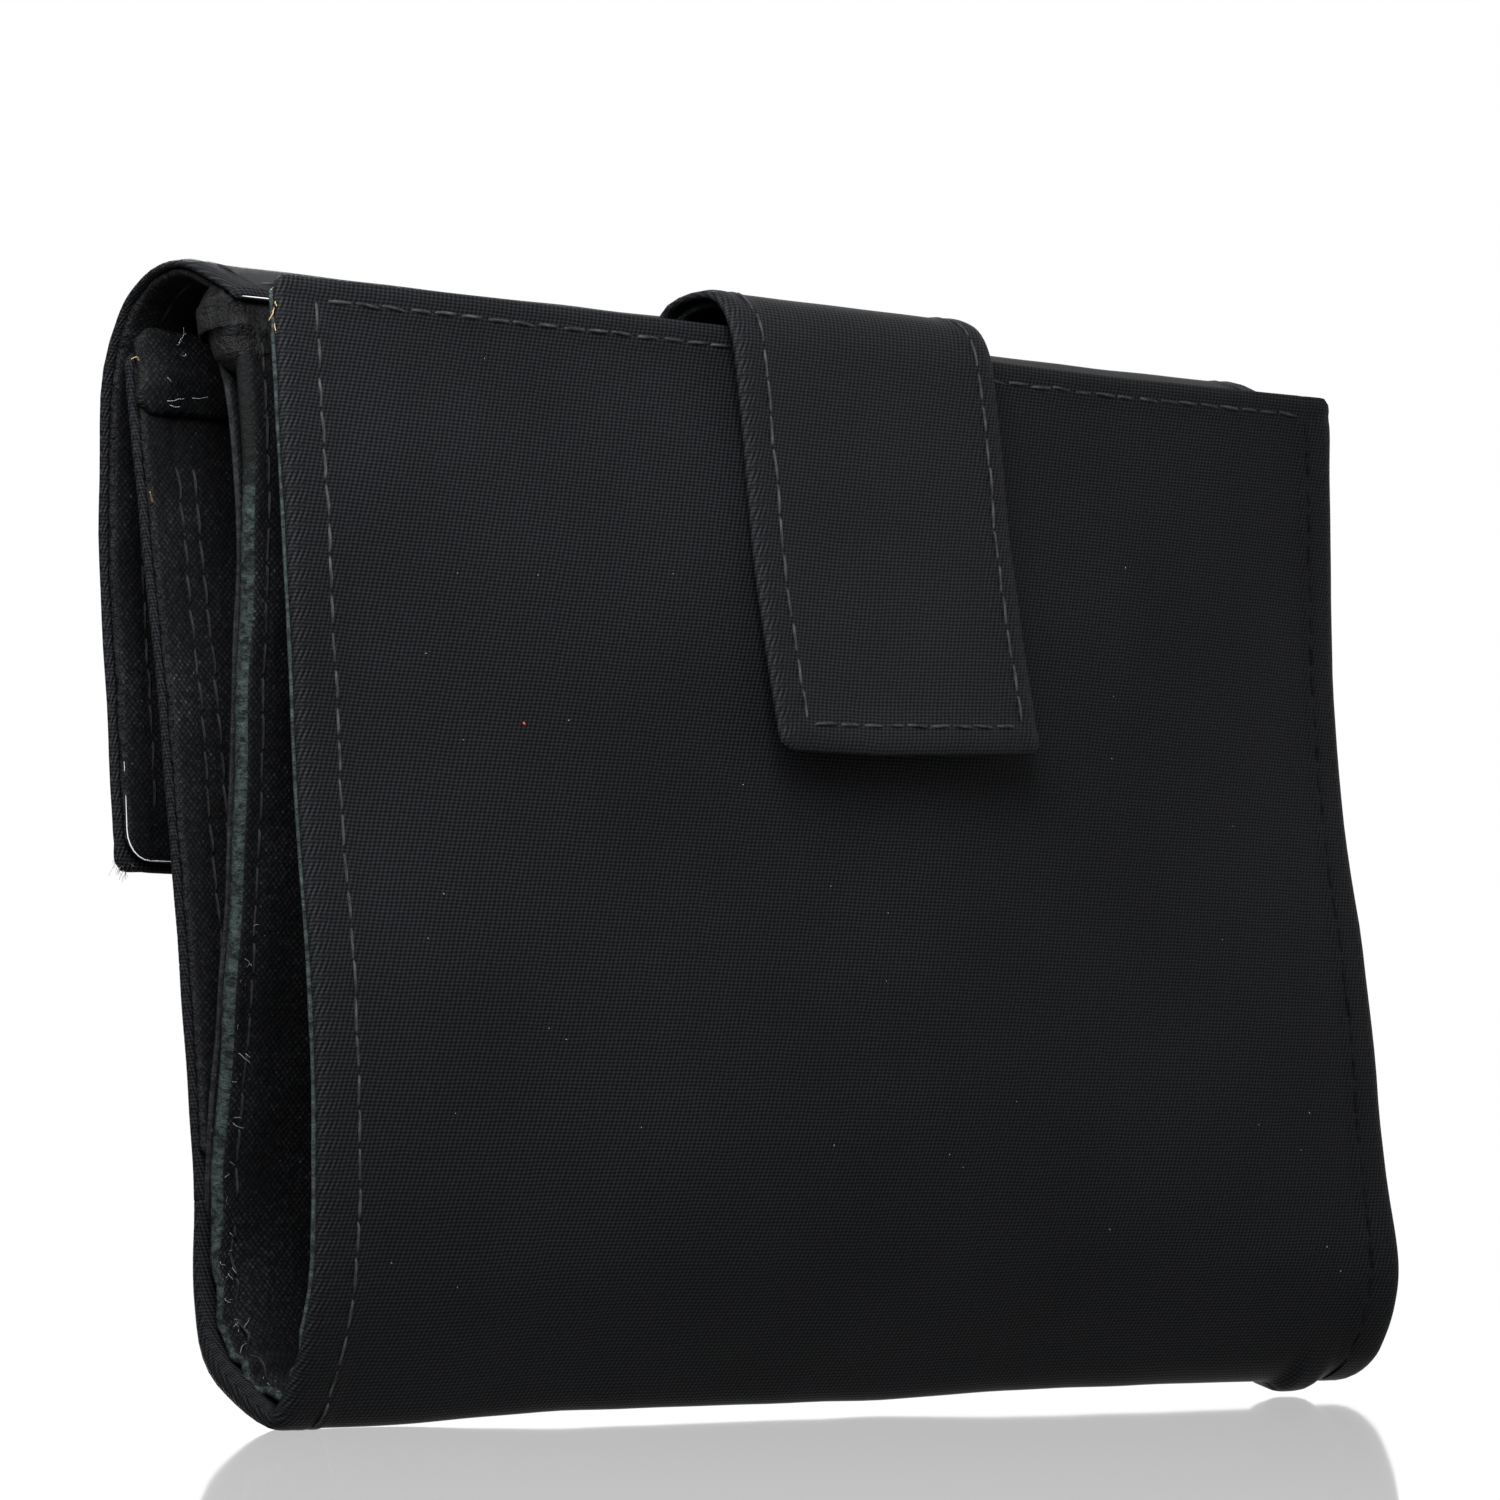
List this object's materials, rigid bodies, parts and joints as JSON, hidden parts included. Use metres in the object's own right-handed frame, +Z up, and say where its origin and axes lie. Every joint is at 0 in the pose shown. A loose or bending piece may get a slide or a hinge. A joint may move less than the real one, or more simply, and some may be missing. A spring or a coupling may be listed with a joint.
{
  "type": "trifold wallet",
  "caption": "Black nylon trifold wallet lined in leather: a cover with a snap strap folds over a divider with card slots, and a snap flap shuts the coin pocket behind it.",
  "frame": {"origin": "on the surface that the folded wallet stands on, under the middle of its box", "axes": "+X along the wallet's width, +Y from the cover towards the coin pocket and flap, +Z up"},
  "size_m": [0.14, 0.0292, 0.0973],
  "materials": {
    "black_nylon": "fine twill weave with a slight sheen",
    "lining_leather": "cross-hatched embossed grain, semi-gloss, worn painted edges",
    "pocket_leather": "cross-hatched embossed grain, semi-gloss",
    "gusset_leather": "soft smooth leather, satin",
    "stiffener_board": "bonded leather board, matte",
    "snap_metal": "gunmetal, satin"
  },
  "bodies": {
    "back": {"divider_lining": "lining_leather", "divider_board": "stiffener_board", "coin_pocket_back": "pocket_leather", "divider_top_binding": "black_nylon", "pocket_seam": "lining_leather", "card_slot_1": "pocket_leather", "card_slot_2": "pocket_leather", "card_slot_3": "pocket_leather", "back_wall_nylon": "black_nylon", "back_wall_lining": "lining_leather", "coin_gusset_left": "gusset_leather", "coin_gusset_right": "gusset_leather", "flap_root_nylon": "black_nylon", "flap_root_lining": "lining_leather", "strap_root_nylon": "black_nylon", "strap_root_lining": "lining_leather"},
    "spine": {"spine_nylon": "black_nylon", "spine_lining": "lining_leather"},
    "cover": {"cover_nylon": "black_nylon", "cover_board": "stiffener_board", "cover_lining": "lining_leather", "bill_pocket": "pocket_leather", "strap_snap_stud": "snap_metal"},
    "coin_front": {"coin_front_nylon": "black_nylon", "coin_front_board": "stiffener_board", "coin_front_lining": "lining_leather", "coin_front_binding": "lining_leather", "flap_snap_stud": "snap_metal"},
    "flap_fold": {"flap_fold_nylon": "black_nylon", "flap_fold_lining": "lining_leather"},
    "flap": {"flap_nylon": "black_nylon", "flap_board": "stiffener_board", "flap_lining": "lining_leather", "flap_snap_socket": "snap_metal"},
    "strap_fold": {"strap_fold_nylon": "black_nylon", "strap_fold_lining": "lining_leather"},
    "strap": {"strap_nylon": "black_nylon", "strap_core": "stiffener_board", "strap_lining": "lining_leather", "strap_snap_socket": "snap_metal"}
  },
  "joints": [
    {"name": "spine_open", "type": "hinge", "parent": "back", "child": "spine", "pos_m": [0, 0.00243, 0.00117], "axis": [1, 0, 0], "range_deg": [0, 90]},
    {"name": "cover_open", "type": "hinge", "parent": "spine", "child": "cover", "pos_m": [0, -0.01044, 0.00176], "axis": [1, 0, 0], "range_deg": [0, 90]},
    {"name": "flap_lift", "type": "hinge", "parent": "back", "child": "flap_fold", "pos_m": [0, 0.0041, 0.0955], "axis": [1, 0, 0], "range_deg": [0, 80]},
    {"name": "flap_unroll", "type": "hinge", "parent": "flap_fold", "child": "flap", "pos_m": [0, 0.0128, 0.0955], "axis": [1, 0, 0], "range_deg": [0, 80]},
    {"name": "coin_mouth", "type": "hinge", "parent": "back", "child": "coin_front", "pos_m": [0, 0.0036, 0.01995], "axis": [-1, 0, 0], "range_deg": [0, 12], "deforming": ["coin_gusset_left", "coin_gusset_right"]},
    {"name": "strap_lift", "type": "hinge", "parent": "back", "child": "strap_fold", "pos_m": [0, -0.00115, 0.09559], "axis": [-1, 0, 0], "range_deg": [0, 85]},
    {"name": "strap_unroll", "type": "hinge", "parent": "strap_fold", "child": "strap", "pos_m": [0, -0.00915, 0.09559], "axis": [-1, 0, 0], "range_deg": [0, 85]}
  ],
  "couplings": [
    {"joint": "cover_open", "follows": "spine_open", "ratio": 1},
    {"joint": "flap_unroll", "follows": "flap_lift", "ratio": 1},
    {"joint": "coin_mouth", "follows": "flap_lift", "ratio": 0.15},
    {"joint": "strap_unroll", "follows": "strap_lift", "ratio": 1}
  ]
}
